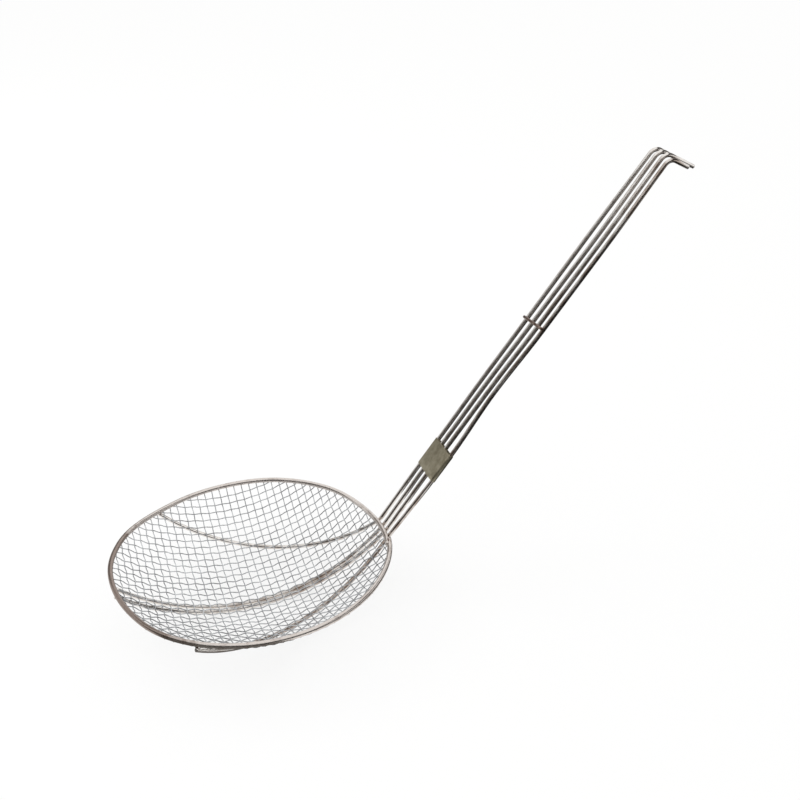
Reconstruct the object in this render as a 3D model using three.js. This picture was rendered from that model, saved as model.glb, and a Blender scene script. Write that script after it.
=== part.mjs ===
// Wire-mesh skimmer. A shallow bowl of woven wire cloth hangs in a round rim. Four long wires run
// under the bowl as ribs, pass beneath the rim, rise side by side as the handle and end in a hook.
// A folded clip and a short cross brace hold the four wires together.
// Millimetres, +Z up. The rim lies level and the handle rises towards +X.

import * as THREE from "three";

// Rim: one round rod bent into a ring. The diameter is taken outside.
const RIM_DIAMETER = 203;
const RIM_ROD = 3.8;

// Bowl: a spherical cap that starts at the rim's centre line, covered by wires woven over and under.
const BOWL_DEPTH = 38.8;
const MESH_WIRE = 1.0;
const MESH_WIRES_EACH_WAY = 26;

// Frame wires: rib, handle and hook are one length of wire each. The handle's length runs from
// beneath the rim to the hook's corner, and the hook's reach from that corner to the tip.
const FRAME_WIRE = 3.2;
const HANDLE_PITCH = 8;
const HANDLE_LENGTH = 338;
const HANDLE_RISE = THREE.MathUtils.degToRad(50);
const HANDLE_BEND_RADIUS = 14;
const HOOK_TURN = THREE.MathUtils.degToRad(80);
const HOOK_RADIUS = 6.5;
const HOOK_REACH = 26.5;

// The wire at the -Y edge turns a little sooner and has a shorter hook.
const EDGE_WIRE_SETBACK = 2;
const EDGE_HOOK_REACH = 17.5;

// The four frame wires from the handle's +Y side. The middle two ribs run as a close pair to the far
// side, the outer two spread to either side. end is the angle of a rib's far end, in degrees round the
// rim from the handle. All the rest is in shares of the handle's pitch: past is how far that end passes
// the rim's centre line, and bow how far the rib bows sideways at its middle. The wires are bent by
// hand, so each one strays from its even place across the handle: at its foot beneath the rim, in the
// clip, half way to the brace, at the brace, half way to the hook and at the hook.
const FRAME_WIRES = [
  {
    rib: { end: 123.5, past: 0.3, bow: 0.14 },
    stray: { foot: -0.06, clip: 0.19, low: 0.29, brace: 0.27, high: 0.31, hook: 0.2 },
  },
  {
    rib: { end: 177.5, past: 0.13, bow: -0.44 },
    stray: { foot: 0, clip: 0.24, low: 0.3, brace: 0.18, high: 0.09, hook: 0.28 },
  },
  {
    rib: { end: -176.3, past: 0.13, bow: 0.08 },
    stray: { foot: 0.12, clip: 0.28, low: 0.31, brace: 0.13, high: 0.1, hook: 0.26 },
  },
  {
    rib: { end: -123.5, past: 0.3, bow: 0.46 },
    stray: { foot: 0.18, clip: -0.05, low: 0.39, brace: 0.11, high: 0.08, hook: 0.29 },
  },
];

// Clip: a strip of sheet metal folded round the four wires, with its seam at the back. Its place
// is its middle, measured up the handle, and the wires run parallel from a little below it.
const CLIP_PLACE = 64.7;
const CLIP_LENGTH = 23.7;
const CLIP_SHEET = 0.5;
const CLIP_SEAM = 0.6;
const CLIP_LEAD = 6;

// Cross brace: a short rod as long as the handle is wide, laid over the front of the four wires, a
// little askew and a little off their middle.
const BRACE_PLACE = 189;
const BRACE_TILT = THREE.MathUtils.degToRad(4);
const BRACE_ROD = 2.2;
const BRACE_OFFSET = 1;

// Clearance between pieces that touch.
const SEAT_GAP = 0.3;

// Facets: sides of a round section and steps along a curve.
const RIM_SIDES = 10;
const RIM_STEPS = 84;
const FRAME_WIRE_SIDES = 10;
const MESH_WIRE_SIDES = 4;
const BRACE_SIDES = 12;
const RIB_STEPS = 20;
const BOW_STEPS = 4;
const BEND_STEPS = 4;
const HOOK_STEPS = 6;
const CLIP_CURVE_STEPS = 6;

// Finishes
const rimSteel = new THREE.MeshStandardMaterial({ color: 0x9a938b, roughness: 0.32, metalness: 1 });
const frameSteel = new THREE.MeshStandardMaterial({ color: 0x8f8f8d, roughness: 0.28, metalness: 1 });
const meshSteel = new THREE.MeshStandardMaterial({ color: 0xa3a19c, roughness: 0.35, metalness: 1 });
const clipSteel = new THREE.MeshStandardMaterial({ color: 0x747064, roughness: 0.5, metalness: 1 });

// The rim's centre line lies on a sphere of the bowl's depth. Ribs and mesh lie on spheres about
// the same centre: the ribs just clear the underside of the rim, and the mesh lies on the ribs.
const rimRadius = (RIM_DIAMETER - RIM_ROD) / 2;
const bowlSphere = (rimRadius ** 2 + BOWL_DEPTH ** 2) / (2 * BOWL_DEPTH);
const sphereHeight = bowlSphere - BOWL_DEPTH;
const rimPolar = Math.asin(rimRadius / bowlSphere);
const ribSphere = bowlSphere + RIM_ROD / 2 + SEAT_GAP + FRAME_WIRE / 2;
const crimp = (MESH_WIRE + SEAT_GAP) / 2;
const meshSphere = ribSphere - FRAME_WIRE / 2 - SEAT_GAP - crimp - MESH_WIRE / 2;

// The mesh stops one gap short of the rim rod, beside its lower inner flank.
const meshDrop = meshSphere - bowlSphere;
const meshEndClearance = RIM_ROD / 2 + SEAT_GAP + MESH_WIRE / 2;
const meshEndArc = Math.sqrt(meshEndClearance ** 2 - meshDrop ** 2);
const meshEndRadius = meshSphere * Math.sin(rimPolar - meshEndArc / meshSphere);
const meshPitch = (2 * rimPolar * meshSphere) / MESH_WIRES_EACH_WAY;

// A wire's centre line as a row of stations, each one a ring of the finished tube.
class WirePath extends THREE.Curve {
  constructor(stations) {
    super();
    this.stations = stations;
    this.steps = stations.length - 1;
  }

  getPoint(t, target = new THREE.Vector3()) {
    const place = t * this.steps;
    const index = Math.min(Math.floor(place), this.steps - 1);
    return target.lerpVectors(this.stations[index], this.stations[index + 1], place - index);
  }

  getPointAt(t, target) {
    return this.getPoint(t, target);
  }

  // A ring faces half way between the stretches that meet at its station.
  getTangentAt(t, target = new THREE.Vector3()) {
    const index = Math.round(t * this.steps);
    const here = this.stations[index];
    target.set(0, 0, 0);
    if (index > 0) {
      target.add(here.clone().sub(this.stations[index - 1]).normalize());
    }
    if (index < this.steps) {
      target.add(this.stations[index + 1].clone().sub(here).normalize());
    }
    return target.normalize();
  }
}

function wireGeometry(stations, diameter, sides) {
  const corners = [];
  for (let i = 0; i < sides; i += 1) {
    const turn = ((i + 0.5) * 2 * Math.PI) / sides;
    corners.push(new THREE.Vector2(Math.cos(turn), Math.sin(turn)).multiplyScalar(diameter / 2));
  }
  const path = new WirePath(stations);
  return new THREE.ExtrudeGeometry(new THREE.Shape(corners), { steps: path.steps, extrudePath: path });
}

// Stations of the arc that rounds off a corner between two straight stretches.
function roundedCorner(before, corner, after, radius, steps) {
  const back = before.clone().sub(corner).normalize();
  const ahead = after.clone().sub(corner).normalize();
  const halfAngle = back.angleTo(ahead) / 2;
  const start = corner.clone().addScaledVector(back, radius / Math.tan(halfAngle));
  const bisector = back.clone().add(ahead).normalize();
  const centre = corner.clone().addScaledVector(bisector, radius / Math.sin(halfAngle));
  const spoke = start.clone().sub(centre);
  const turn = Math.PI - 2 * halfAngle;
  const arc = [];
  for (let i = 0; i <= steps; i += 1) {
    const swept = (turn * i) / steps;
    const point = centre.clone().addScaledVector(spoke, Math.cos(swept));
    arc.push(point.addScaledVector(back, -radius * Math.sin(swept)));
  }
  return arc;
}

// A point of the bowl below the given plan position.
function onSphere(x, y, sphere) {
  return new THREE.Vector3(x, y, sphereHeight - Math.sqrt(sphere ** 2 - x ** 2 - y ** 2));
}

const skimmer = new THREE.Group();

// The handle's own axes: X up the handle, Y across it and Z out of its front. Its origin is on the
// wires' centre plane, beneath the rim.
const handle = new THREE.Group();
const handleFoot = ribSphere * Math.sin(rimPolar);
handle.position.set(handleFoot, 0, sphereHeight - ribSphere * Math.cos(rimPolar));
handle.rotation.y = -HANDLE_RISE;
handle.updateMatrix();
skimmer.add(handle);

function onHandle(along, across, out) {
  return new THREE.Vector3(along, across, out).applyMatrix4(handle.matrix);
}

function addPiece(group, name, geometry, material) {
  const piece = new THREE.Mesh(geometry, material);
  piece.name = name;
  group.add(piece);
  return piece;
}

// Rim
addPiece(skimmer, "rim", new THREE.TorusGeometry(rimRadius, RIM_ROD / 2, RIM_SIDES, RIM_STEPS), rimSteel);

// Frame wires, numbered across the handle from its +Y side
const lastWire = FRAME_WIRES.length;

function acrossHandle(number, place) {
  const evenPlace = (lastWire + 1) / 2 - number;
  return (evenPlace + FRAME_WIRES[number - 1].stray[place]) * HANDLE_PITCH;
}

function ribStations(number) {
  const { rib } = FRAME_WIRES[number - 1];
  const endAngle = THREE.MathUtils.degToRad(rib.end);
  const endRadius = rimRadius + rib.past * HANDLE_PITCH;
  const end = new THREE.Vector2(Math.cos(endAngle), Math.sin(endAngle)).multiplyScalar(endRadius);
  const footAcross = acrossHandle(number, "foot");
  const foot = new THREE.Vector2(Math.sqrt(handleFoot ** 2 - footAcross ** 2), footAcross);
  const stations = [];
  for (let i = 0; i <= RIB_STEPS; i += 1) {
    const along = i / RIB_STEPS;
    const plan = end.clone().lerp(foot, along);
    plan.y += rib.bow * HANDLE_PITCH * 4 * along * (1 - along);
    stations.push(onSphere(plan.x, plan.y, ribSphere));
  }
  return stations;
}

// From the top of the clip to the hook's corner, in easy curves from one place to the next.
function bowStations(number, length) {
  const clipTop = CLIP_PLACE + CLIP_LENGTH / 2;
  const places = [
    { along: clipTop, across: acrossHandle(number, "clip") },
    { along: (clipTop + BRACE_PLACE) / 2, across: acrossHandle(number, "low") },
    { along: BRACE_PLACE, across: acrossHandle(number, "brace") },
    { along: (BRACE_PLACE + length) / 2, across: acrossHandle(number, "high") },
    { along: length, across: acrossHandle(number, "hook") },
  ];
  const stations = [onHandle(places[0].along, places[0].across, 0)];
  for (let next = 1; next < places.length; next += 1) {
    const from = places[next - 1];
    const to = places[next];
    for (let i = 1; i <= BOW_STEPS; i += 1) {
      const share = i / BOW_STEPS;
      const eased = THREE.MathUtils.smoothstep(share, 0, 1);
      const along = THREE.MathUtils.lerp(from.along, to.along, share);
      const across = THREE.MathUtils.lerp(from.across, to.across, eased);
      stations.push(onHandle(along, across, 0));
    }
  }
  return stations;
}

function frameWireStations(number) {
  const rib = ribStations(number);
  const footCorner = rib.pop();
  const parallelAlong = CLIP_PLACE - CLIP_LENGTH / 2 - CLIP_LEAD;
  const parallelFrom = onHandle(parallelAlong, acrossHandle(number, "clip"), 0);
  const atEdge = number === lastWire;
  const length = atEdge ? HANDLE_LENGTH - EDGE_WIRE_SETBACK : HANDLE_LENGTH;
  const reach = atEdge ? EDGE_HOOK_REACH : HOOK_REACH;
  const bows = bowStations(number, length);
  const hookCorner = bows.pop();
  const hookAlong = length + reach * Math.cos(HOOK_TURN);
  const hookTip = onHandle(hookAlong, acrossHandle(number, "hook"), -reach * Math.sin(HOOK_TURN));
  return [
    ...rib,
    ...roundedCorner(rib.at(-1), footCorner, parallelFrom, HANDLE_BEND_RADIUS, BEND_STEPS),
    parallelFrom,
    ...bows,
    ...roundedCorner(bows.at(-1), hookCorner, hookTip, HOOK_RADIUS, HOOK_STEPS),
    hookTip,
  ];
}

for (let number = 1; number <= lastWire; number += 1) {
  const geometry = wireGeometry(frameWireStations(number), FRAME_WIRE, FRAME_WIRE_SIDES);
  addPiece(skimmer, `frame_wire_${number}`, geometry, frameSteel);
}

// Clip: the folded strip's cross-section, drawn across the handle and extruded along it
function clipOutline() {
  const flat = (acrossHandle(1, "clip") - acrossHandle(lastWire, "clip")) / 2;
  const inside = FRAME_WIRE / 2 + SEAT_GAP;
  const outside = inside + CLIP_SHEET;
  const quarter = Math.PI / 2;
  const outline = new THREE.Shape();
  outline.moveTo(CLIP_SEAM / 2, -outside);
  outline.lineTo(flat, -outside);
  outline.absarc(flat, 0, outside, -quarter, quarter, false);
  outline.lineTo(-flat, outside);
  outline.absarc(-flat, 0, outside, quarter, 3 * quarter, false);
  outline.lineTo(-CLIP_SEAM / 2, -outside);
  outline.lineTo(-CLIP_SEAM / 2, -inside);
  outline.lineTo(-flat, -inside);
  outline.absarc(-flat, 0, inside, 3 * quarter, quarter, true);
  outline.lineTo(flat, inside);
  outline.absarc(flat, 0, inside, quarter, -quarter, true);
  outline.lineTo(CLIP_SEAM / 2, -inside);
  outline.closePath();
  return outline;
}

const clipGeometry = new THREE.ExtrudeGeometry(clipOutline(), {
  depth: CLIP_LENGTH,
  bevelEnabled: false,
  curveSegments: CLIP_CURVE_STEPS,
});
clipGeometry.rotateX(Math.PI / 2).rotateZ(Math.PI / 2);
const clip = addPiece(handle, "clip", clipGeometry, clipSteel);
clip.position.x = CLIP_PLACE - CLIP_LENGTH / 2;
clip.position.y = (acrossHandle(1, "clip") + acrossHandle(lastWire, "clip")) / 2;

// Cross brace
const braceSpan = acrossHandle(1, "brace") - acrossHandle(lastWire, "brace");
const braceMiddle = (acrossHandle(1, "brace") + acrossHandle(lastWire, "brace")) / 2 - BRACE_OFFSET;
const braceLength = braceSpan + FRAME_WIRE;
const braceGeometry = new THREE.CylinderGeometry(BRACE_ROD / 2, BRACE_ROD / 2, braceLength, BRACE_SIDES);
const brace = addPiece(handle, "cross_brace", braceGeometry, frameSteel);
brace.position.set(BRACE_PLACE, braceMiddle, FRAME_WIRE / 2 + SEAT_GAP + BRACE_ROD / 2);
brace.rotation.z = BRACE_TILT;

// Mesh: warp wires run along the handle's direction, weft wires across it. Cloth pressed into a bowl
// keeps the length of its mesh sides and lets the meshes lean, so its nodes form a net of equal sides.
// One quarter of it holds the directions of the nodes from the bowl's centre, half a mesh apart. The
// two middle lines are evenly divided, and every other node mirrors the one diagonally before it in
// the plane of the two beside it.
function quarterNet() {
  const step = meshPitch / 2 / meshSphere;
  const net = [];
  for (let i = 0; i <= MESH_WIRES_EACH_WAY; i += 1) {
    net.push([]);
    for (let j = 0; j <= MESH_WIRES_EACH_WAY; j += 1) {
      if (i === 0 || j === 0) {
        net[i].push(new THREE.Vector3(Math.sin(i * step), Math.sin(j * step), -Math.cos((i + j) * step)));
      } else {
        const mirror = net[i - 1][j].clone().cross(net[i][j - 1]).normalize();
        net[i].push(net[i - 1][j - 1].clone().reflect(mirror));
      }
    }
  }
  return net;
}

const meshNet = quarterNet();

function netDirection(i, j) {
  const node = meshNet[Math.abs(i)][Math.abs(j)];
  return new THREE.Vector3(Math.sign(i) * node.x, Math.sign(j) * node.y, node.z);
}

// Each wire rises over one neighbour and dips under the next, in a wave that peaks where two cross.
function weave(index, run) {
  const crossings = (run + MESH_WIRES_EACH_WAY - 1) / 2 + index;
  const phase = THREE.MathUtils.euclideanModulo(crossings, 2);
  return crimp * (2 * Math.abs(phase - 1) - 1);
}

// A wire's run is counted in half meshes from the bowl's middle line.
function meshWireStations(index, isWeft) {
  const lane = 2 * index - (MESH_WIRES_EACH_WAY - 1);
  const nodeAt = (run) => (isWeft ? netDirection(lane, run) : netDirection(run, lane));
  const radiusAt = (run) => meshSphere * Math.hypot(nodeAt(run).x, nodeAt(run).y);
  let inside = 0;
  while (radiusAt(inside + 1) < meshEndRadius) {
    inside += 1;
  }
  const endRun = inside + (meshEndRadius - radiusAt(inside)) / (radiusAt(inside + 1) - radiusAt(inside));

  const runs = [-endRun];
  const leastRun = MESH_WIRE / (meshPitch / 2);
  for (let crossing = 0; crossing < MESH_WIRES_EACH_WAY; crossing += 1) {
    const run = 2 * crossing - (MESH_WIRES_EACH_WAY - 1);
    if (Math.abs(run) < endRun - leastRun) {
      runs.push(run);
    }
  }
  runs.push(endRun);
  return runs.map((run) => {
    const before = Math.floor(run);
    const direction = nodeAt(before).lerp(nodeAt(before + 1), run - before).normalize();
    const station = direction.multiplyScalar(meshSphere + (isWeft ? -1 : 1) * weave(index, run));
    station.z += sphereHeight;
    return station;
  });
}

for (const kind of ["warp", "weft"]) {
  for (let index = 0; index < MESH_WIRES_EACH_WAY; index += 1) {
    const stations = meshWireStations(index, kind === "weft");
    const name = `mesh_${kind}_${String(index + 1).padStart(2, "0")}`;
    addPiece(skimmer, name, wireGeometry(stations, MESH_WIRE, MESH_WIRE_SIDES), meshSteel);
  }
}

// The origin is the middle of the foot of the skimmer's box.
const box = new THREE.Box3().setFromObject(skimmer, true);
const middle = box.getCenter(new THREE.Vector3());
skimmer.position.set(-middle.x, -middle.y, -box.min.z);

export default skimmer;
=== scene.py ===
"""Wire-mesh skimmer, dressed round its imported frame: a rim of round rod, a bowl of woven wire cloth,
four wires that are rib, handle and hook in one, a folded clip and a cross brace. Metres, +Z up."""

import math
from collections import namedtuple
from types import SimpleNamespace

import bmesh
import bpy
from bpy.props import FloatProperty, FloatVectorProperty, PointerProperty
from mathutils import Matrix, Vector


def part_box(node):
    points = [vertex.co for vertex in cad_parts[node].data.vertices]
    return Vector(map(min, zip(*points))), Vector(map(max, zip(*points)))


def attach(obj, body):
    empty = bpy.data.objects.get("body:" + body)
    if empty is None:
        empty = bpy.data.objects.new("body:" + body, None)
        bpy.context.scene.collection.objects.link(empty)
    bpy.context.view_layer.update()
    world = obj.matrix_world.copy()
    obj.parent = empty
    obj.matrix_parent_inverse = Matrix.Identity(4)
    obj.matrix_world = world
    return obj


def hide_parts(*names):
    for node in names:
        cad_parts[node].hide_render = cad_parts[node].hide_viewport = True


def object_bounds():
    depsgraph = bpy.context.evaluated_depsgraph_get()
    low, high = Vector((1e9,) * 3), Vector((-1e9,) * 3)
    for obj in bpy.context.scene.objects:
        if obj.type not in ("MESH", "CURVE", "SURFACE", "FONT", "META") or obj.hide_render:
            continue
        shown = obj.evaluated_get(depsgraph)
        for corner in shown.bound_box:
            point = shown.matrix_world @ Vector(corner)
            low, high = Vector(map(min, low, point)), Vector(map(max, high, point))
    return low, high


bl_info = {
    "name": "Wire-Mesh Skimmer",
    "version": (1, 0, 0),
    "blender": (4, 5, 0),
    "location": "View3D > Sidebar > Skimmer",
    "description": "Builds a kitchen skimmer of woven wire cloth round its packed frame",
    "category": "Object",
}

MM = 0.001
BODY = "root"

# The four frame wires from the handle's +Y side. The middle two ribs run as a close pair to the far side,
# and the outer two spread to either side. "end" is the angle of a rib's far end, in degrees round the rim
# from the handle. All the rest is in shares of the handle's pitch: "past" is how far that end passes the
# rim's centre line, and "bow" how far the rib bows sideways at its middle. The wires are bent by hand, so
# each one strays from its even place across the handle: at its foot beneath the rim, in the clip, half
# way to the brace, at the brace, half way to the hook and at the hook.
FRAME_WIRES = (
    {
        "rib": {"end": 123.5, "past": 0.3, "bow": 0.14},
        "stray": {"foot": -0.06, "clip": 0.19, "low": 0.29, "brace": 0.27, "high": 0.31, "hook": 0.2},
    },
    {
        "rib": {"end": 177.5, "past": 0.13, "bow": -0.44},
        "stray": {"foot": 0, "clip": 0.24, "low": 0.3, "brace": 0.18, "high": 0.09, "hook": 0.28},
    },
    {
        "rib": {"end": -176.3, "past": 0.13, "bow": 0.08},
        "stray": {"foot": 0.12, "clip": 0.28, "low": 0.31, "brace": 0.13, "high": 0.1, "hook": 0.26},
    },
    {
        "rib": {"end": -123.5, "past": 0.3, "bow": 0.46},
        "stray": {"foot": 0.18, "clip": -0.05, "low": 0.39, "brace": 0.11, "high": 0.08, "hook": 0.29},
    },
)
LAST_WIRE = len(FRAME_WIRES)

# The ring is bent by hand too, and wanders up and out along the bowl's side between the ribs' ends. Each
# row says round which angle from the handle, over how many degrees to either side, and how far in shares
# of the ring's diameter.
RIM_WANDERS = (
    (170, 18, 0.006),
    (151, 34, 0.0165),
    (68, 28, 0.0035),
    (14, 30, -0.0095),
    (-157, 24, -0.0142),
)

# How many flat sides stand for the round of each wire.
RIM_SIDES = 24
FRAME_WIRE_SIDES = 18
CLOTH_WIRE_SIDES = 6

# Weld beads, as half sizes in shares of half the weld's width. At the rim a bead lies across the wire and
# stands out from it; at the brace it is given along the handle, across and out. The bead on the lap has
# its length in shares of the lap, and sits a little sunk into the rod.
RIM_BEAD = {"across": 1.3, "out": 0.7}
BRACE_BEAD = {"along": 0.9, "across": 1, "out": 0.8}
LAP_BEAD = {"along": 0.35, "across": 0.8, "out": 0.4, "sunk": 0.3}

# Points of a cloth wire from one neighbour to the next, and how many meshes the net goes past the rim.
CELL_STEPS = 4
SPARE_MESHES = 3

# Flags that only the steel mirrors, which give it dark sides as in the photo. Each is two corners in
# metres, and how bright its felt is. They stand in front, at the left and behind, and lower at the right,
# with white gaps between. Two lie just above the floor, before the bowl and under the handle.
FLAGS = {
    "front_flag": ((-1.6, -1.1, 0), (0.9, -1.1, 0.95), 0.04),
    "corner_flag": ((-1.4, -1.1, 0.95), (-0.7, -1.1, 1.9), 0.04),
    "left_flag": ((-1.6, -1.1, 0), (-1.6, 0.6, 1.4), 0.13),
    "high_flag": ((-1.6, -0.9, 1.4), (-1.6, 0.3, 2.0), 0.04),
    "back_flag": ((-1.6, 1.5, 0), (-0.05, 1.5, 1.5), 0.27),
    "right_flag": ((0.5, -0.9, 0), (0.5, 0.35, 0.2), 0.22),
    "over_flag": ((0.5, -0.8, 0.41), (0.5, 0.35, 0.8), 0.08),
    "bowl_flag": ((-1.1, -1.1, 0.004), (-0.11, -0.05, 0.004), 0.17),
    "handle_flag": ((0.04, -1.1, 0.004), (0.58, 0.2, 0.004), 0.03),
}
SENSOR_WIDTH_MM = 36

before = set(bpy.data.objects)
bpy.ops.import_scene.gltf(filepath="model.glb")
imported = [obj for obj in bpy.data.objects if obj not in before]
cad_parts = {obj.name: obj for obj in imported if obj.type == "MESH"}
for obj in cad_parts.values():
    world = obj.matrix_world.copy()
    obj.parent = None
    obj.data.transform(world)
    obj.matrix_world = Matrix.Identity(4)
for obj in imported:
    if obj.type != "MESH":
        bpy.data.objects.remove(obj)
CAD_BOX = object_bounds()
RIM_LOW, RIM_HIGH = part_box("rim")
RIM_CENTRE = (RIM_LOW + RIM_HIGH) / 2
RIM_OUTSIDE = RIM_HIGH.x - RIM_LOW.x


# Settings in the sidebar


def srgb(code):
    """A linear colour from an sRGB hex value."""
    channels = [int(code[i : i + 2], 16) / 255 for i in (0, 2, 4)]
    linear = [c / 12.92 if c <= 0.04045 else ((c + 0.055) / 1.055) ** 2.4 for c in channels]
    return (*linear, 1.0)


def length(name, description, millimetres):
    """A length for the sidebar, given in millimetres and kept in metres."""
    return FloatProperty(
        name=name, description=description, default=millimetres * MM, min=0, precision=5, unit="LENGTH"
    )


def angle(name, description, degrees):
    """An angle for the sidebar, given in degrees and kept in radians."""
    return FloatProperty(
        name=name, description=description, default=math.radians(degrees), subtype="ANGLE"
    )


def colour(name, description, code):
    """A colour for the sidebar, given as sRGB hex and kept linear."""
    return FloatVectorProperty(
        name=name, description=description, default=srgb(code), size=4, min=0, max=1, subtype="COLOR"
    )


class SkimmerSizes(bpy.types.PropertyGroup):
    """Driving dimensions of the skimmer."""

    rim_rod: length("Rim rod", "Diameter of the rod that the rim is bent from", 3.8)
    lap_angle: angle("Lap angle", "Where the rim rod's two ends lie side by side, from the handle", -12.5)
    lap_length: length("Lap length", "How far the rim rod's two ends pass each other", 8)
    lap_inset: length("Lap inset", "How far the end from the +Y side runs inside the round rim", 0.6)
    lap_outset: length("Lap outset", "How far the end from the -Y side runs outside the round rim", 0.9)
    bowl_depth: length("Bowl depth", "From the rim's centre line to the bottom of the bowl", 38.8)
    cloth_wire: length("Cloth wire", "Diameter of the wires of the woven cloth", 0.8)
    cloth_pitch: length("Cloth pitch", "Distance between neighbouring wires of the cloth", 6.0)
    cloth_crimp: length("Cloth crimp", "How far a cloth wire rises and dips from wire to wire", 0.6)
    frame_wire: length("Frame wire", "Diameter of the four long wires", 3.2)
    handle_pitch: length("Handle pitch", "Distance between neighbouring wires of the handle", 8)
    handle_length: length("Handle length", "From beneath the rim to the hook's corner", 338)
    handle_rise: angle("Handle rise", "Slope of the handle above the rim's plane", 50)
    foot_radius: length("Foot radius", "Bend from rib to handle", 14)
    lead_radius: length("Lead radius", "Bend below the clip, where the wires start to run parallel", 60)
    hook_turn: angle("Hook turn", "How far the hook is bent back", 80)
    hook_radius: length("Hook radius", "Bend from handle to hook", 6.5)
    hook_reach: length("Hook reach", "From the hook's corner to its tip", 26.5)
    edge_setback: length("Edge setback", "How much sooner the wire at the -Y edge turns", 2)
    edge_reach: length("Edge reach", "Reach of the hook of the wire at the -Y edge", 17.5)
    clip_place: length("Clip place", "Middle of the clip, up the handle", 64.7)
    clip_length: length("Clip length", "Length of the clip along the handle", 23.7)
    clip_sheet: length("Clip sheet", "Thickness of the clip's sheet metal", 0.45)
    clip_slack: length("Clip slack", "Room between the folded clip and the wires", 0.05)
    clip_wear: length("Clip wear", "Width of the clip's worn edges", 0.2)
    clip_seam: length("Clip seam", "Gap between the clip's folded ends, at the back", 0.6)
    clip_lead: length("Clip lead", "How far below the clip the wires start to run parallel", 6)
    brace_place: length("Brace place", "Middle of the cross brace, up the handle", 189)
    brace_tilt: angle("Brace tilt", "How far the brace lies askew", 4)
    brace_rod: length("Brace rod", "Diameter of the cross brace", 2.2)
    brace_offset: length("Brace offset", "How far the brace lies off the wires' middle, towards -Y", 1)
    seat_gap: length("Seat gap", "Clearance between pieces, bridged by the welds", 0.3)
    weld_size: length("Weld size", "Width of a weld bead", 2.0)


class SkimmerFinishes(bpy.types.PropertyGroup):
    """Colours of the skimmer's steels."""

    rim_light: colour("Rim, bright", "Clean steel of the rim", "dcd4ce")
    rim_dark: colour("Rim, stained", "Stained steel of the rim", "968880")
    wire_light: colour("Frame wire, bright", "Clean steel of the frame wires", "ebe6e1")
    # The dark tone gives the wires' stains, and also their painted shade towards the handle's -Y edge.
    wire_stain_and_shade: colour("Frame wire, stained", "Stained steel of the frame wires", "a8998e")
    cloth_light: colour("Cloth, bright", "Bright wire of the woven cloth", "dadcde")
    cloth_dark: colour("Cloth, stained", "Darkened wire of the woven cloth", "b0b1b3")
    clip_light: colour("Clip, rubbed", "Paler patches of the rolled sheet", "b2ab95")
    clip_dark: colour("Clip, dull", "Darker patches of the rolled sheet", "938c78")
    brace_light: colour("Brace, bright", "Rubbed steel of the brace", "93827a")
    brace_dark: colour("Brace, tinted", "Heat-tinted steel of the brace and the welds", "584539")


class SkimmerStage(bpy.types.PropertyGroup):
    """Camera, floor and lights."""

    camera_place: FloatVectorProperty(
        name="Camera place",
        description="Where the camera stands, in the skimmer's frame",
        default=RIM_CENTRE + Vector((-0.0951, -0.68332, 0.49259)),
        subtype="XYZ",
        unit="LENGTH",
    )
    camera_turn: FloatVectorProperty(
        name="Camera turn",
        description="The camera's rotation",
        default=[math.radians(turn) for turn in (61.4185, 2.4361, -18.676)],
        subtype="EULER",
        unit="ROTATION",
    )
    camera_lens: FloatProperty(
        name="Camera lens",
        description="Focal length on a sensor as wide as a full frame",
        default=51.49,
        unit="CAMERA",
    )
    floor_size: FloatProperty(
        name="Floor size", description="Width of the floor", default=8, unit="LENGTH"
    )
    floor_colour: colour("Floor colour", "White paper", "f7f7f6")
    floor_glow: FloatProperty(
        name="Floor glow",
        description="Share of the floor's look that is plain white, against its own shaded paper",
        default=0.75,
        min=0,
        max=1,
        subtype="FACTOR",
    )
    flag_colour: colour("Flag colour", "Tint of the felt flags that the steel mirrors", "fffaf5")
    room_light: FloatProperty(
        name="Room light", description="Strength of the even light all round", default=1.0, min=0
    )
    softbox_power: FloatProperty(
        name="Softbox power", description="Power of the large lamp", default=6, min=0, unit="POWER"
    )
    softbox_place: FloatVectorProperty(
        name="Softbox place",
        description="Where the large lamp stands, left and behind. It faces the frame's origin",
        default=(-1.1, 0.9, 1.3),
        subtype="XYZ",
        unit="LENGTH",
    )
    softbox_width: FloatProperty(
        name="Softbox width", description="Width of the large lamp", default=1.2, unit="LENGTH"
    )
    softbox_height: FloatProperty(
        name="Softbox height", description="Height of the large lamp", default=0.8, unit="LENGTH"
    )


# Places that follow from the sizes


def bowl_shape(sizes):
    """The spheres that rim, ribs and cloth lie on. They share one centre, above the rim."""
    rim_radius = (RIM_OUTSIDE - sizes.rim_rod) / 2
    if sizes.bowl_depth >= rim_radius:
        raise ValueError("the bowl has to be shallower than half its width")
    rim_sphere = (rim_radius**2 + sizes.bowl_depth**2) / (2 * sizes.bowl_depth)
    centre = RIM_CENTRE + Vector((0, 0, rim_sphere - sizes.bowl_depth))
    rib_sphere = rim_sphere + sizes.rim_rod / 2 + sizes.seat_gap + sizes.frame_wire / 2
    cloth_sphere = rib_sphere - sizes.frame_wire / 2 - sizes.cloth_crimp - sizes.cloth_wire / 2
    return SimpleNamespace(
        rim_radius=rim_radius,
        rim_polar=math.asin(rim_radius / rim_sphere),
        rim_sphere=rim_sphere,
        rib_sphere=rib_sphere,
        cloth_sphere=cloth_sphere,
        centre=centre,
    )


def on_bowl(shape, sphere, x, y):
    """The point of a sphere below a place in the rim's plane."""
    return shape.centre + Vector((x, y, -math.sqrt(sphere**2 - x**2 - y**2)))


def smoothstep(share):
    """Eases a share from 0 to 1, level at both ends."""
    return share * share * (3 - 2 * share)


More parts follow.
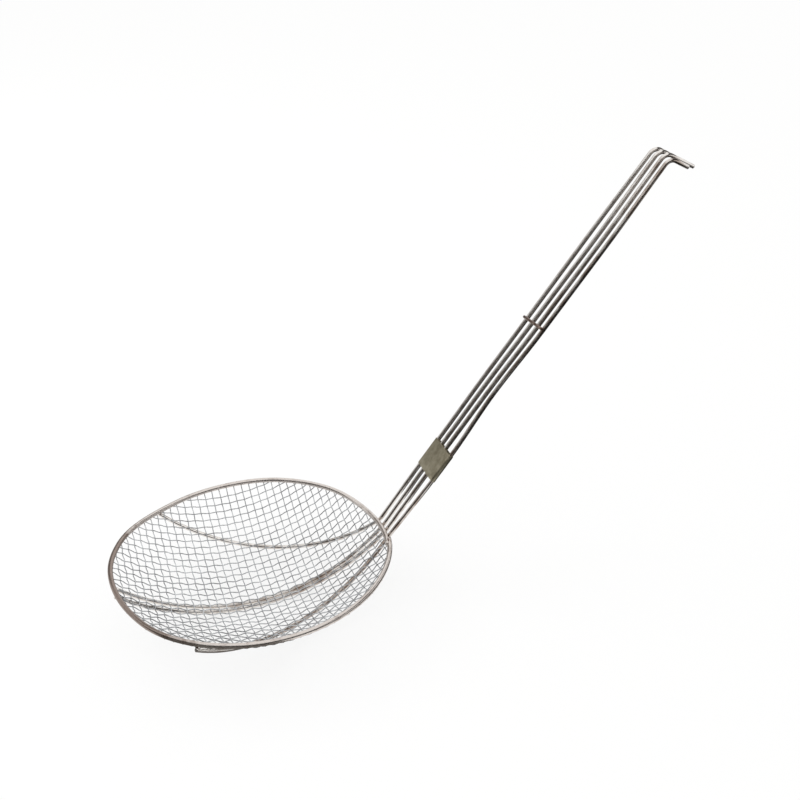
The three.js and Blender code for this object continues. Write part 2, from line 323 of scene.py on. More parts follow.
def rim_polar(shape, turn):
    """The angle from the bowl's lowest point to the rim's centre line, at a turn round the rim."""
    wander = 0
    for middle, spread, share in RIM_WANDERS:
        apart = math.remainder(turn - math.radians(middle), 2 * math.pi)
        wander += share * smoothstep(max(0, 1 - abs(apart) / math.radians(spread)))
    return shape.rim_polar + wander * 2 * shape.rim_radius / shape.rim_sphere


def handle_axes(sizes, shape):
    """The handle's own frame: X up the handle, Y across it and Z out of its front."""
    polar = shape.rim_polar
    foot = shape.centre + shape.rib_sphere * Vector((math.sin(polar), 0, -math.cos(polar)))
    return Matrix.Translation(foot) @ Matrix.Rotation(-sizes.handle_rise, 4, "Y")


def rounded(route, corner_radii, steps=10):
    """A row of points with some of its corners rounded off. Radii are given by index."""
    points = []
    for i, corner in enumerate(route):
        radius = corner_radii.get(i, 0)
        if not radius:
            points.append(corner)
            continue
        back = (route[i - 1] - corner).normalized()
        ahead = (route[i + 1] - corner).normalized()
        half = back.angle(ahead) / 2
        start = corner + back * (radius / math.tan(half))
        centre = corner + (back + ahead).normalized() * (radius / math.sin(half))
        spoke = start - centre
        for step in range(steps + 1):
            swept = (math.pi - 2 * half) * step / steps
            points.append(centre + spoke * math.cos(swept) - back * radius * math.sin(swept))
    return points


def across_handle(sizes, number, place):
    """Where a frame wire runs across the handle, at a named place along it. Wire 1 is at +Y."""
    even_place = (LAST_WIRE + 1) / 2 - number
    return (even_place + FRAME_WIRES[number - 1]["stray"][place]) * sizes.handle_pitch


def outer_wires(sizes, place):
    """The middle of the first and the last frame wire across the handle, and half their distance."""
    first, last = (across_handle(sizes, number, place) for number in (1, LAST_WIRE))
    return (first + last) / 2, (first - last) / 2


def rib_route(sizes, shape, number, steps=40):
    """The part of a frame wire under the bowl, from its far end to its foot beneath the rim."""
    rib = FRAME_WIRES[number - 1]["rib"]
    end_angle = math.radians(rib["end"])
    end_radius = shape.rim_radius + rib["past"] * sizes.handle_pitch
    end = end_radius * Vector((math.cos(end_angle), math.sin(end_angle)))
    foot_across = across_handle(sizes, number, "foot")
    foot_radius = shape.rib_sphere * math.sin(shape.rim_polar)
    foot = Vector((math.sqrt(foot_radius**2 - foot_across**2), foot_across))
    route = []
    for step in range(steps + 1):
        along = step / steps
        x, y = end.lerp(foot, along)
        y += rib["bow"] * sizes.handle_pitch * 4 * along * (1 - along)
        route.append(on_bowl(shape, shape.rib_sphere, x, y))
    return route


def bow_route(sizes, number, long, steps=10):
    """The part of a frame wire from the top of the clip to the hook's corner, in the handle's frame."""
    clip_top = sizes.clip_place + sizes.clip_length / 2
    places = (
        (clip_top, "clip"),
        ((clip_top + sizes.brace_place) / 2, "low"),
        (sizes.brace_place, "brace"),
        ((sizes.brace_place + long) / 2, "high"),
        (long, "hook"),
    )
    route = [Vector((clip_top, across_handle(sizes, number, "clip"), 0))]
    for (near, near_name), (far, far_name) in zip(places, places[1:]):
        near_across = across_handle(sizes, number, near_name)
        far_across = across_handle(sizes, number, far_name)
        for step in range(1, steps + 1):
            share = step / steps
            across = near_across + (far_across - near_across) * smoothstep(share)
            route.append(Vector((near + (far - near) * share, across, 0)))
    return route


def frame_wire_route(sizes, shape, number):
    """Centre line of one frame wire, from the rib's far end to the hook's tip."""
    rib = rib_route(sizes, shape, number)
    at_edge = number == LAST_WIRE
    long = sizes.handle_length - (sizes.edge_setback if at_edge else 0)
    reach = sizes.edge_reach if at_edge else sizes.hook_reach
    lead = sizes.clip_place - sizes.clip_length / 2 - sizes.clip_lead
    hook_across = across_handle(sizes, number, "hook")
    tip = (long + reach * math.cos(sizes.hook_turn), hook_across, -reach * math.sin(sizes.hook_turn))
    upper = [Vector((lead, across_handle(sizes, number, "clip"), 0))]
    upper += bow_route(sizes, number, long)
    upper.append(Vector(tip))
    handle = handle_axes(sizes, shape)
    route = rib + [handle @ point for point in upper]
    corners = {
        len(rib) - 1: sizes.foot_radius,
        len(rib): sizes.lead_radius,
        len(route) - 2: sizes.hook_radius,
    }
    return rounded(route, corners)


def rim_route(sizes, shape, steps=220, ease=math.radians(30)):
    """Centre line of the rim: one turn of rod whose ends pass each other by the lap.

    Over the angle of ease, one end swings out of the round and the other one in.
    """
    lap = sizes.lap_length / shape.rim_radius
    route = []
    for step in range(steps + 1):
        swept = (2 * math.pi + lap) * step / steps
        left = 2 * math.pi + lap - swept
        turn = sizes.lap_angle + lap / 2 - swept
        aside = sizes.lap_outset * smoothstep(max(0, 1 - swept / ease))
        aside -= sizes.lap_inset * smoothstep(max(0, 1 - left / ease))
        polar = rim_polar(shape, turn)
        radius = shape.rim_sphere * math.sin(polar) + aside
        drop = shape.rim_sphere * math.cos(polar)
        route.append(shape.centre + Vector((radius * math.cos(turn), radius * math.sin(turn), -drop)))
    return route


def pressed_net(shape, sizes):
    """One quarter of the net that flat wire cloth forms when it is pressed into the bowl.

    The cloth keeps the length of its mesh sides and lets the meshes lean. The nodes are directions from
    the bowl's centre. The two middle lines are evenly divided, and every other node mirrors the one
    diagonally before it in the plane of the two beside it.
    """
    step = sizes.cloth_pitch / shape.cloth_sphere / CELL_STEPS
    reach = math.ceil(shape.rim_polar / step) + SPARE_MESHES * CELL_STEPS
    net = []
    for i in range(reach + 1):
        row = []
        for j in range(reach + 1):
            if i == 0 or j == 0:
                row.append(Vector((math.sin(i * step), math.sin(j * step), -math.cos((i + j) * step))))
            else:
                mirror = net[i - 1][j].cross(row[j - 1]).normalized()
                row.append(net[i - 1][j - 1].reflect(mirror))
        net.append(row)
    return net


def cloth_wire_route(sizes, shape, net, lane, is_weft):
    """Centre line of one cloth wire, which rises over one neighbour and dips under the next.

    Lanes are counted from the middle wire, and the ends run into the rim rod.
    """

    def direction(run):
        i, j = (lane * CELL_STEPS, run) if is_weft else (run, lane * CELL_STEPS)
        node = net[abs(i)][abs(j)]
        return Vector((math.copysign(node.x, i), math.copysign(node.y, j), node.z))

    def short_of_rim(run):
        outward = direction(run)
        rim = rim_polar(shape, math.atan2(outward.y, outward.x))
        return rim + sizes.cloth_wire / 2 / shape.cloth_sphere - math.acos(-outward.z)

    stations = [(0, direction(0))]
    for sign in (-1, 1):
        run = sign
        half_wire = []
        while short_of_rim(run) > 0:
            half_wire.append((run, direction(run)))
            run += sign
        inside = run - sign
        share = short_of_rim(inside) / (short_of_rim(inside) - short_of_rim(run))
        end = direction(inside).lerp(direction(run), share).normalized()
        half_wire.append((inside + sign * share, end))
        stations = half_wire[::-1] + stations if sign < 0 else stations + half_wire
    side = -1 if is_weft else 1
    route = []
    for run, outward in stations:
        wave = side * math.cos(math.pi * (run / CELL_STEPS + lane))
        route.append(shape.centre + outward * (shape.cloth_sphere + sizes.cloth_crimp * wave))
    return route


# Meshes


def add_wire(mesh, route, radius, sides, rounding=0.35):
    """Adds a round wire along a route. UVs run along and round it, in metres.

    The edges of its cut ends are rounded, by a share of the radius.
    """
    stations = [(point, radius) for point in route]
    edge = radius * rounding
    for at, inner in ((0, 1), (-1, -2)):
        out = (route[at] - route[inner]).normalized()
        cut = [(route[at] - out * edge * back, radius - edge * (1 - back)) for back in (0, 0.4, 1)]
        if at == 0:
            stations[:1] = cut
        else:
            stations[-1:] = cut[::-1]
    last = len(stations) - 1
    uv = mesh.loops.layers.uv.verify()
    rings, along = [], [0.0]
    normal = last_tangent = None
    for i, (point, ring_radius) in enumerate(stations):
        before = stations[max(i - 1, 0)][0]
        after = stations[min(i + 1, last)][0]
        tangent = (after - before).normalized()
        if normal is None:
            normal = tangent.orthogonal().normalized()
        else:
            normal.rotate(last_tangent.rotation_difference(tangent))
        last_tangent = tangent
        side = tangent.cross(normal)
        ring = []
        for j in range(sides):
            turn = 2 * math.pi * j / sides
            offset = normal * math.cos(turn) + side * math.sin(turn)
            ring.append(mesh.verts.new(point + offset * ring_radius))
        rings.append(ring)
        along.append(along[-1] + (after - point).length)
    for i, (near, far) in enumerate(zip(rings, rings[1:])):
        for j in range(sides):
            k = (j + 1) % sides
            face = mesh.faces.new((near[j], near[k], far[k], far[j]))
            face.smooth = True
            places = ((i, j), (i, j + 1), (i + 1, j + 1), (i + 1, j))
            for loop, (a, b) in zip(face.loops, places):
                loop[uv].uv = (along[a], 2 * math.pi * radius * b / sides)
    mesh.faces.new(rings[0][::-1])
    mesh.faces.new(rings[-1])


def add_bead(mesh, place, axes, bump=0.12):
    """Adds a weld bead: a flattened ball with a slightly uneven surface.

    The bump is a share of its size, as two crossing waves.
    """
    added = bmesh.ops.create_icosphere(mesh, subdivisions=3, radius=1)["verts"]
    for vert in added:
        x, y, z = vert.co
        swell = 1 + bump * math.sin(5 * x + 3 * y) * math.cos(4 * z - 2 * y)
        vert.co = place + swell * (axes[0] * x + axes[1] * y + axes[2] * z)
        for face in vert.link_faces:
            face.smooth = True


def add_piece(name, mesh, material, nodes=()):
    """Puts a mesh in the scene as a piece on the frame's body, in place of the CAD nodes named."""
    data = bpy.data.meshes.new(name)
    bmesh.ops.recalc_face_normals(mesh, faces=mesh.faces)
    mesh.to_mesh(data)
    mesh.free()
    data.materials.append(material)
    piece = bpy.data.objects.new(name, data)
    bpy.context.scene.collection.objects.link(piece)
    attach(piece, BODY)
    if nodes:
        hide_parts(*nodes)
    return piece


# Materials


def add_node(tree, kind, settings=None, inputs=None):
    """Adds a node. A setting is one of its own properties; an input is a value or another's socket."""
    node = tree.nodes.new(kind)
    for name, value in (settings or {}).items():
        setattr(node, name, value)
    for name, value in (inputs or {}).items():
        if isinstance(value, bpy.types.NodeSocket):
            tree.links.new(value, node.inputs[name])
        else:
            node.inputs[name].default_value = value
    return node


def new_tree(name):
    """An empty material and its node tree."""
    material = bpy.data.materials.new(name)
    material.use_nodes = True
    material.node_tree.nodes.clear()
    return material, material.node_tree


def per_mm(size):
    """Texture scale, in cycles per metre, for a feature of a size in millimetres."""
    return 1 / (size * MM)


# A tone ramp grows along a direction in the skimmer's frame, between two distances, to a strength. Some
# ramps paint shade and light. A strength of 1 turns the light tone into the dark one, and one below 0
# makes a darkened place bright again.
ToneRamp = namedtuple("ToneRamp", "direction start full strength")

# How much the streaks count against the patches, and the noise between which a place turns from dark to
# light, and from glossy to dull.
STREAK_SHARE = 0.25
TONE_EDGES = (0.36, 0.62)
GLOSS_EDGES = (0.3, 0.7)

# The light tone's share, from the darkest patch to the lightest. A steel with tone ramps starts from
# lighter patches, so that the end that no ramp darkens shows hardly any.
PLAIN_SHARES = (0, 1)
RAMPED_SHARES = (0.6, 1.6)

STREAK_DEPTH_MM = 0.03


def steel(name, light, dark, patch_mm, streak_mm, roughness, ramps=()):
    """Bare steel in two tones, with patches and with fine streaks that run along a wire.

    patch_mm is the size of the patches, and streak_mm the length and the width of the streaks. Real draw
    marks are too fine to show, so the streaks are drawn coarser. They follow the UVs, and a piece without
    UVs has the patches alone. Roughness is given for the glossiest streak and for the dullest.
    """
    material, tree = new_tree(name)
    place = add_node(tree, "ShaderNodeTexCoord")
    patches = add_node(
        tree,
        "ShaderNodeTexNoise",
        inputs={
            "Vector": place.outputs["Object"],
            "Scale": per_mm(patch_mm),
            "Detail": 4.0,
            "Roughness": 0.6,
        },
    )
    grain = add_node(
        tree,
        "ShaderNodeMapping",
        inputs={"Vector": place.outputs["UV"], "Scale": (per_mm(streak_mm[0]), per_mm(streak_mm[1]), 1)},
    )
    streaks = add_node(
        tree,
        "ShaderNodeTexNoise",
        inputs={"Vector": grain.outputs["Vector"], "Scale": 1.0, "Detail": 3.0},
    )
    both = add_node(
        tree,
        "ShaderNodeMix",
        {"data_type": "FLOAT"},
        {"Factor": STREAK_SHARE, "A": patches.outputs["Fac"], "B": streaks.outputs["Fac"]},
    )
    shares = RAMPED_SHARES if ramps else PLAIN_SHARES
    share = add_node(
        tree,
        "ShaderNodeMapRange",
        {"interpolation_type": "SMOOTHSTEP"},
        {
            "Value": both.outputs["Result"],
            "From Min": TONE_EDGES[0],
            "From Max": TONE_EDGES[1],
            "To Min": shares[0],
            "To Max": shares[1],
        },
    )
    # Each ramp darkens or brightens the tone along a direction; some of them paint shade and light.
    for ramp in ramps:
        reach = add_node(
            tree,
            "ShaderNodeVectorMath",
            {"operation": "DOT_PRODUCT"},
            {0: place.outputs["Object"], 1: ramp.direction},
        )
        loss = add_node(
            tree,
            "ShaderNodeMapRange",
            inputs={
                "Value": reach.outputs["Value"],
                "From Min": ramp.start,
                "From Max": ramp.full,
                "To Max": ramp.strength,
            },
        )
        share = add_node(
            tree,
            "ShaderNodeMath",
            {"operation": "SUBTRACT"},
            {0: share.outputs[0], 1: loss.outputs["Result"]},
        )
    tone = add_node(
        tree,
        "ShaderNodeMix",
        {"data_type": "RGBA"},
        {"Factor": share.outputs[0], "A": dark, "B": light},
    )
    gloss = add_node(
        tree,
        "ShaderNodeMapRange",
        inputs={
            "Value": streaks.outputs["Fac"],
            "From Min": GLOSS_EDGES[0],
            "From Max": GLOSS_EDGES[1],
            "To Min": roughness[0],
            "To Max": roughness[1],
        },
    )
    relief = add_node(
        tree,
        "ShaderNodeBump",
        inputs={"Strength": 0.1, "Distance": STREAK_DEPTH_MM * MM, "Height": streaks.outputs["Fac"]},
    )
    shader = add_node(
        tree,
        "ShaderNodeBsdfPrincipled",
        inputs={
            "Base Color": tone.outputs["Result"],
            "Metallic": 1.0,
            "Roughness": gloss.outputs["Result"],
            "Normal": relief.outputs["Normal"],
        },
    )
    add_node(tree, "ShaderNodeOutputMaterial", inputs={"Surface": shader.outputs["BSDF"]})
    return material


def drawn_rod_steel(finishes):
    """Cold-drawn steel rod: a satin sheen, with brown stained patches, and darker towards the bowl's far
    left.

    There it darkens between two shares of the way from the bowl's middle to the rim.
    """
    turn = math.radians(-172)
    far_left = Vector((math.cos(turn), math.sin(turn), 0))
    start, full = (RIM_CENTRE.dot(far_left) + share * RIM_OUTSIDE / 2 for share in (0.58, 0.85))
    return steel(
        "drawn_steel_rod",
        finishes.rim_light,
        finishes.rim_dark,
        patch_mm=7,
        streak_mm=(12, 0.6),
        roughness=(0.2, 0.34),
        ramps=[ToneRamp(far_left, start, full, strength=1.5)],
    )


def drawn_wire_steel(finishes):
    """Bright-drawn steel wire: glossy, with faint draw marks, so it mirrors dark and light side by side.

    The wires get painted shade, darker one by one towards the handle's -Y edge, and are darker towards
    the bottom of the bowl. Painted light makes the ribs bright again towards the bowl's far end.
    """
    return steel(
        "drawn_steel_wire",
        finishes.wire_light,
        finishes.wire_stain_and_shade,
        patch_mm=11,
        streak_mm=(20, 0.5),
        roughness=(0.08, 0.18),
        ramps=[
            # Painted shade: the wires darken one by one towards the handle's -Y edge.
            ToneRamp((0, -1, 0), -8 * MM, 13 * MM, strength=0.8),
            # Darker towards the bottom of the bowl.
            ToneRamp((0, 0, -1), -55 * MM, 0, strength=0.6),
            # Painted light: the ribs turn bright again towards the bowl's far end.
            ToneRamp((-1, 0, 0), 70 * MM, 160 * MM, strength=-0.9),
        ],
    )


def woven_wire_steel(finishes):
    """Woven stainless wire: thin and bright, so one crimp catches the light and the next one loses it."""
    return steel(
        "woven_stainless_wire",
        finishes.cloth_light,
        finishes.cloth_dark,
        patch_mm=16,
        streak_mm=(8, 0.4),
        roughness=(0.12, 0.24),
    )


def tinted_steel(finishes):
    """Welded steel: browned by the heat, duller and rougher than the wires round it."""
    return steel(
        "heat_tinted_steel",
        finishes.brace_light,
        finishes.brace_dark,
        patch_mm=2.5,
        streak_mm=(5, 0.5),
        roughness=(0.32, 0.48),
    )


def rolled_sheet_steel(finishes):
    """Cold-rolled sheet steel: dull olive-grey and cloudy, with hardly a highlight."""
    return steel(
        "rolled_sheet_steel",
        finishes.clip_light,
        finishes.clip_dark,
        patch_mm=5,
        streak_mm=(9, 0.7),
        roughness=(0.42, 0.55),
    )


def flag_felt(stage, name, brightness):
    """Felt on a studio flag: matt and even, so it gives the steel its darker sides."""
    material, tree = new_tree(f"{name}_felt")
    felt = add_node(
        tree, "ShaderNodeEmission", inputs={"Color": stage.flag_colour, "Strength": brightness}
    )
    add_node(tree, "ShaderNodeOutputMaterial", inputs={"Surface": felt.outputs["Emission"]})
    return material


def shown(tree):
    """A socket that is 1 on rays that show a surface: to the eye, mirrored or through a clear thing."""
    light = add_node(tree, "ShaderNodeLightPath")
    ray = light.outputs["Is Camera Ray"]
    for kind in ("Is Glossy Ray", "Is Transmission Ray"):
        either = add_node(
            tree, "ShaderNodeMath", {"operation": "MAXIMUM"}, {0: ray, 1: light.outputs[kind]}
        )
        ray = either.outputs["Value"]
    return ray


def floor_paper(stage):
    """White studio paper: matt, nearly plain white to the eye and in the steel, with a faint shadow."""
    material, tree = new_tree("white_studio_paper")
    share = add_node(
        tree, "ShaderNodeMath", {"operation": "MULTIPLY"}, {0: shown(tree), 1: stage.floor_glow}
    )
    paper = add_node(tree, "ShaderNodeBsdfDiffuse", inputs={"Color": stage.floor_colour})
    glow = add_node(tree, "ShaderNodeEmission", inputs={"Color": (1, 1, 1, 1), "Strength": 1.0})
    both = add_node(
        tree,
        "ShaderNodeMixShader",
        inputs={0: share.outputs["Value"], 1: paper.outputs["BSDF"], 2: glow.outputs["Emission"]},
    )
    add_node(tree, "ShaderNodeOutputMaterial", inputs={"Surface": both.outputs["Shader"]})
    return material


def white_room(stage):
    """Even light from all round, plain white where it is seen."""
    world = bpy.data.worlds.new("white_room")
    world.use_nodes = True
    tree = world.node_tree
    tree.nodes.clear()
    strength = add_node(
        tree,
        "ShaderNodeMapRange",
        inputs={"Value": shown(tree), "To Min": stage.room_light, "To Max": 1.0},
    )
    white = add_node(
        tree,
        "ShaderNodeBackground",
        inputs={"Color": (1, 1, 1, 1), "Strength": strength.outputs["Result"]},
    )
    add_node(tree, "ShaderNodeOutputWorld", inputs={"Surface": white.outputs["Background"]})
    return world


# Operators


class SKIMMER_OT_rim(bpy.types.Operator):
    """Bend the rim from one round rod"""

    bl_idname = "skimmer.rim"
    bl_label = "Rim"

    def execute(self, context):
        sizes = context.scene.skimmer_sizes
        shape = bowl_shape(sizes)
        mesh = bmesh.new()
        add_wire(mesh, rim_route(sizes, shape), sizes.rim_rod / 2, RIM_SIDES)
        material = drawn_rod_steel(context.scene.skimmer_finishes)
        add_piece("rim_rod", mesh, material, ["rim"])
        return {"FINISHED"}


class SKIMMER_OT_frame_wires(bpy.types.Operator):
    """Bend the four long wires, each one rib, handle and hook"""

    bl_idname = "skimmer.frame_wires"
    bl_label = "Frame Wires"

    def execute(self, context):
        sizes = context.scene.skimmer_sizes
        shape = bowl_shape(sizes)
        material = drawn_wire_steel(context.scene.skimmer_finishes)
        for number in range(1, LAST_WIRE + 1):
            mesh = bmesh.new()
            route = frame_wire_route(sizes, shape, number)
            add_wire(mesh, route, sizes.frame_wire / 2, FRAME_WIRE_SIDES)
            add_piece(f"drawn_wire_{number}", mesh, material, [f"frame_wire_{number}"])
        return {"FINISHED"}


class SKIMMER_OT_woven_cloth(bpy.types.Operator):
    """Weave the bowl's wire cloth, with warp wires in the handle's direction and weft wires across it"""

    bl_idname = "skimmer.woven_cloth"
    bl_label = "Woven Cloth"

    def execute(self, context):
        sizes = context.scene.skimmer_sizes
        shape = bowl_shape(sizes)
        material = woven_wire_steel(context.scene.skimmer_finishes)
        net = pressed_net(shape, sizes)
        room = shape.rim_polar * shape.cloth_sphere - sizes.rim_rod
        outermost = math.floor(room / sizes.cloth_pitch)
        for kind in ("warp", "weft"):
            mesh = bmesh.new()
            for lane in range(-outermost, outermost + 1):
                route = cloth_wire_route(sizes, shape, net, lane, kind == "weft")
                add_wire(mesh, route, sizes.cloth_wire / 2, CLOTH_WIRE_SIDES)
            nodes = [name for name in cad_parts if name.startswith(f"mesh_{kind}_")]
            add_piece(f"cloth_{kind}", mesh, material, nodes)
        return {"FINISHED"}


class SKIMMER_OT_clip(bpy.types.Operator):
    """Fold the clip's strip of sheet metal round the four wires"""

    bl_idname = "skimmer.clip"
    bl_label = "Clip"

    def execute(self, context):
        sizes = context.scene.skimmer_sizes
        handle = handle_axes(sizes, bowl_shape(sizes))
        middle, flat = outer_wires(sizes, "clip")
        inside = sizes.frame_wire / 2 + sizes.clip_slack
        bend_steps = 12

        def strip(reach):
            """One face of the folded strip, from seam to seam round the front."""
            line = [(sizes.clip_seam / 2, -reach)]
            for side in (1, -1):
                for step in range(bend_steps + 1):
                    turn = math.pi * (step / bend_steps - 0.5)
                    x, z = reach * math.cos(turn), reach * math.sin(turn)
                    line.append((side * (flat + x), side * z))
            line.append((-sizes.clip_seam / 2, -reach))
            return line

        outline = strip(inside + sizes.clip_sheet) + strip(inside)[::-1]
        mesh = bmesh.new()
        ends = []
        for along in (-0.5, 0.5):
            up = sizes.clip_place + along * sizes.clip_length
            ends.append([mesh.verts.new(handle @ Vector((up, middle + y, out))) for y, out in outline])
        count = len(outline)
        half = count // 2
        for i in range(count):
            k = (i + 1) % count
            mesh.faces.new((ends[0][i], ends[0][k], ends[1][k], ends[1][i])).smooth = True
        for i in range(half - 1):
            j = count - 1 - i
            for ring in ends:
                mesh.faces.new((ring[i], ring[i + 1], ring[j - 1], ring[j]))
        material = rolled_sheet_steel(context.scene.skimmer_finishes)
        piece = add_piece("folded_clip", mesh, material, ["clip"])
        # The limit lies above the small angles of the folds, so only the sheet's cut edges are worn.
        bevel = piece.modifiers.new("worn_edges", "BEVEL")
        bevel.width = sizes.clip_wear
        bevel.segments = 2
        bevel.limit_method = "ANGLE"
        bevel.angle_limit = math.radians(50)
        return {"FINISHED"}


class SKIMMER_OT_cross_brace(bpy.types.Operator):
    """Lay the short rod across the front of the handle"""

    bl_idname = "skimmer.cross_brace"
    bl_label = "Cross Brace"

    def execute(self, context):
        sizes = context.scene.skimmer_sizes
        handle = handle_axes(sizes, bowl_shape(sizes))
        wires_middle, half = outer_wires(sizes, "brace")
        half += sizes.frame_wire / 2
        out = (sizes.frame_wire + sizes.brace_rod) / 2 + sizes.seat_gap
        middle = Vector((sizes.brace_place, wires_middle - sizes.brace_offset, out))
        lie = Vector((-math.sin(sizes.brace_tilt), math.cos(sizes.brace_tilt), 0))
        route = [handle @ (middle + lie * half * share) for share in (-1, -0.5, 0, 0.5, 1)]
        mesh = bmesh.new()
        add_wire(mesh, route, sizes.brace_rod / 2, FRAME_WIRE_SIDES)
        material = tinted_steel(context.scene.skimmer_finishes)
        add_piece("brace_rod", mesh, material, ["cross_brace"])
        return {"FINISHED"}


class SKIMMER_OT_welds(bpy.types.Operator):
    """Set the weld beads: wires to rim, rim ends to each other, and brace to wires"""

    bl_idname = "skimmer.welds"
    bl_label = "Welds"

    def add_rim_beads(self, mesh, sizes, shape):
        """One bead at either end of each rib, from the rim's underside to the wire."""
        half = sizes.weld_size / 2
        seat = shape.rim_sphere + sizes.rim_rod / 2
        for number in range(1, LAST_WIRE + 1):
            rib = rib_route(sizes, shape, number)
            for wire_end in (rib[0], rib[-1]):
                spoke = (wire_end - shape.centre).normalized()
                turn = math.atan2(spoke.y, spoke.x)
                rim_at = rim_polar(shape, turn) - half / shape.rim_sphere
                wire_at = min(rim_at, math.acos(-spoke.z))
                polar = (rim_at + wire_at) / 2
                reach = half + (rim_at - wire_at) / 2 * seat
                flat = Vector((math.cos(turn), math.sin(turn), 0))
                down = math.sin(polar) * flat - Vector((0, 0, math.cos(polar)))
                round_rim = Vector((-math.sin(turn), math.cos(turn), 0))
                axes = (
                    round_rim * half * RIM_BEAD["across"],
                    down.cross(round_rim) * reach,
                    down * half * RIM_BEAD["out"],
                )
                add_bead(mesh, shape.centre + down * seat, axes)

    def add_lap_bead(self, mesh, sizes, shape):
        """The bead on top of the rim, where the rod's two ends lie together."""
        half = sizes.weld_size / 2
        flat = Vector((math.cos(sizes.lap_angle), math.sin(sizes.lap_angle), 0))
        round_rim = Vector((-flat.y, flat.x, 0))
        lift = Vector((0, 0, sizes.rim_rod / 2 - LAP_BEAD["sunk"] * half))
        lap_middle = shape.rim_radius + (sizes.lap_outset - sizes.lap_inset) / 2
        axes = (
            round_rim * sizes.lap_length * LAP_BEAD["along"],
            flat * half * LAP_BEAD["across"],
            Vector((0, 0, half * LAP_BEAD["out"])),
        )
        add_bead(mesh, RIM_CENTRE + flat * lap_middle + lift, axes)

    def add_brace_beads(self, mesh, sizes, shape):
        """One bead between the brace and each wire that it crosses."""
        half = sizes.weld_size / 2
        handle = handle_axes(sizes, shape)
        turned = handle.to_3x3()
        axes = (
            turned @ Vector((half * BRACE_BEAD["along"], 0, 0)),
            turned @ Vector((0, half * BRACE_BEAD["across"], 0)),
            turned @ Vector((0, 0, half * BRACE_BEAD["out"])),
        )
        middle = outer_wires(sizes, "brace")[0] - sizes.brace_offset
        for number in range(1, LAST_WIRE + 1):
            across = across_handle(sizes, number, "brace")
            along = sizes.brace_place - (across - middle) * math.tan(sizes.brace_tilt)
            place = handle @ Vector((along, across, sizes.frame_wire / 2 + sizes.seat_gap))
            add_bead(mesh, place, axes)

    def execute(self, context):
        sizes = context.scene.skimmer_sizes
        shape = bowl_shape(sizes)
        material = tinted_steel(context.scene.skimmer_finishes)
        mesh = bmesh.new()
        self.add_rim_beads(mesh, sizes, shape)
        self.add_lap_bead(mesh, sizes, shape)
        add_piece("rim_welds", mesh, material)
        mesh = bmesh.new()
        self.add_brace_beads(mesh, sizes, shape)
        add_piece("brace_welds", mesh, material)
        return {"FINISHED"}


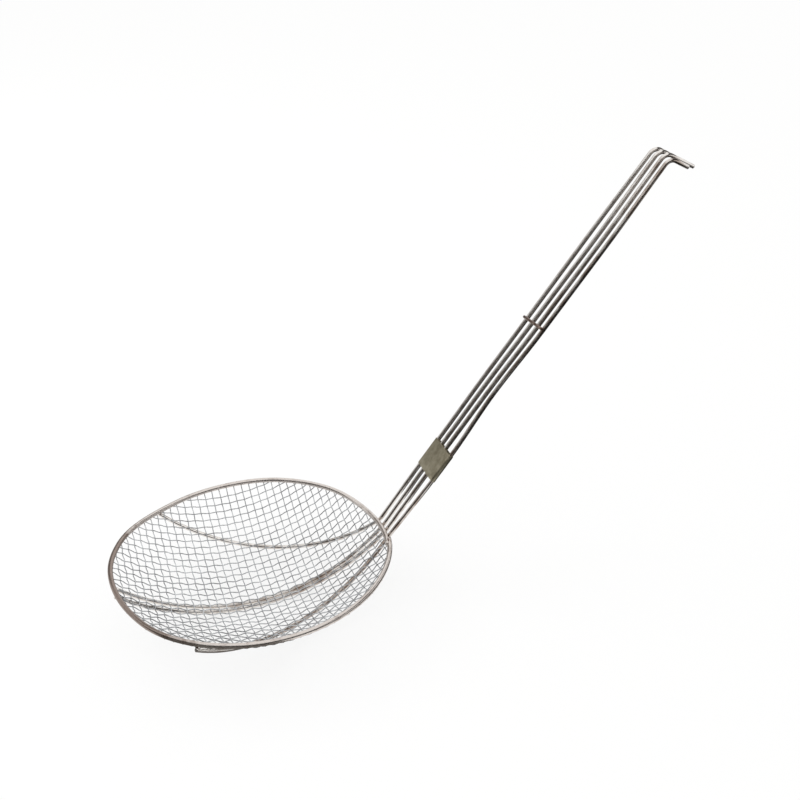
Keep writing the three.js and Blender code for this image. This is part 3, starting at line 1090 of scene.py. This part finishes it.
class SKIMMER_OT_stage(bpy.types.Operator):
    """Set the floor, the light and the camera"""

    bl_idname = "skimmer.stage"
    bl_label = "Stage"

    def add_card(self, name, low, high, material):
        """A flat rectangle between two corners: lying where both are level, and upright where not."""
        (x0, y0, z0), (x1, y1, z1) = low, high
        corners = [(x0, y0, z0), (x1, y1, z0), (x1, y1, z1), (x0, y0, z1)]
        if z0 == z1:
            corners = [(x0, y0, z0), (x1, y0, z0), (x1, y1, z0), (x0, y1, z0)]
        data = bpy.data.meshes.new(name)
        data.from_pydata(corners, [], [(0, 1, 2, 3)])
        data.materials.append(material)
        card = bpy.data.objects.new(name, data)
        bpy.context.scene.collection.objects.link(card)
        return card

    def execute(self, context):
        scene = context.scene
        stage = scene.skimmer_stage
        scene.view_settings.view_transform = "Standard"
        scene.world = white_room(stage)

        half = stage.floor_size / 2
        ground = CAD_BOX[0].z
        self.add_card("floor", (-half, -half, ground), (half, half, ground), floor_paper(stage))
        for name, (low, high, brightness) in FLAGS.items():
            flag = self.add_card(name, low, high, flag_felt(stage, name, brightness))
            for rays in ("camera", "diffuse", "transmission", "volume_scatter", "shadow"):
                setattr(flag, f"visible_{rays}", False)

        lamp = bpy.data.lights.new("softbox", "AREA")
        lamp.shape = "RECTANGLE"
        lamp.size = stage.softbox_width
        lamp.size_y = stage.softbox_height
        lamp.energy = stage.softbox_power
        softbox = bpy.data.objects.new("softbox", lamp)
        softbox.location = stage.softbox_place
        softbox.rotation_euler = (-softbox.location).to_track_quat("-Z", "Y").to_euler()
        # The steel mirrors the white room and the flags, and not the lamp.
        softbox.visible_glossy = False
        scene.collection.objects.link(softbox)

        lens = bpy.data.cameras.new("camera")
        lens.sensor_fit = "HORIZONTAL"
        lens.sensor_width = SENSOR_WIDTH_MM
        lens.lens = stage.camera_lens
        lens.clip_start = 0.01
        camera = bpy.data.objects.new("camera", lens)
        camera.location = stage.camera_place
        camera.rotation_euler = stage.camera_turn
        scene.collection.objects.link(camera)
        scene.camera = camera
        return {"FINISHED"}


class SKIMMER_PT_panel(bpy.types.Panel):
    """Pieces, sizes and colours of the skimmer"""

    bl_idname = "SKIMMER_PT_panel"
    bl_label = "Wire-Mesh Skimmer"
    bl_space_type = "VIEW_3D"
    bl_region_type = "UI"
    bl_category = "Skimmer"

    def draw(self, context):
        for step in STEPS:
            self.layout.operator(step.bl_idname)
        scene = context.scene
        for group in (scene.skimmer_sizes, scene.skimmer_finishes, scene.skimmer_stage):
            box = self.layout.box()
            for name in group.__annotations__:
                box.prop(group, name)


STEPS = (
    SKIMMER_OT_rim,
    SKIMMER_OT_frame_wires,
    SKIMMER_OT_woven_cloth,
    SKIMMER_OT_clip,
    SKIMMER_OT_cross_brace,
    SKIMMER_OT_welds,
    SKIMMER_OT_stage,
)
GROUPS = {
    "skimmer_sizes": SkimmerSizes,
    "skimmer_finishes": SkimmerFinishes,
    "skimmer_stage": SkimmerStage,
}
CLASSES = (*GROUPS.values(), *STEPS, SKIMMER_PT_panel)


def register():
    """Registers the classes and hangs the settings on the scene."""
    for cls in CLASSES:
        bpy.utils.register_class(cls)
    for name, group in GROUPS.items():
        setattr(bpy.types.Scene, name, PointerProperty(type=group))


def unregister():
    """Takes the settings and the classes away again."""
    for name in GROUPS:
        delattr(bpy.types.Scene, name)
    for cls in reversed(CLASSES):
        bpy.utils.unregister_class(cls)


def main():
    """Builds the skimmer and its stage."""
    register()
    bpy.ops.skimmer.rim()
    bpy.ops.skimmer.frame_wires()
    bpy.ops.skimmer.woven_cloth()
    bpy.ops.skimmer.clip()
    bpy.ops.skimmer.cross_brace()
    bpy.ops.skimmer.welds()
    bpy.ops.skimmer.stage()


if __name__ == "__main__":
    main()
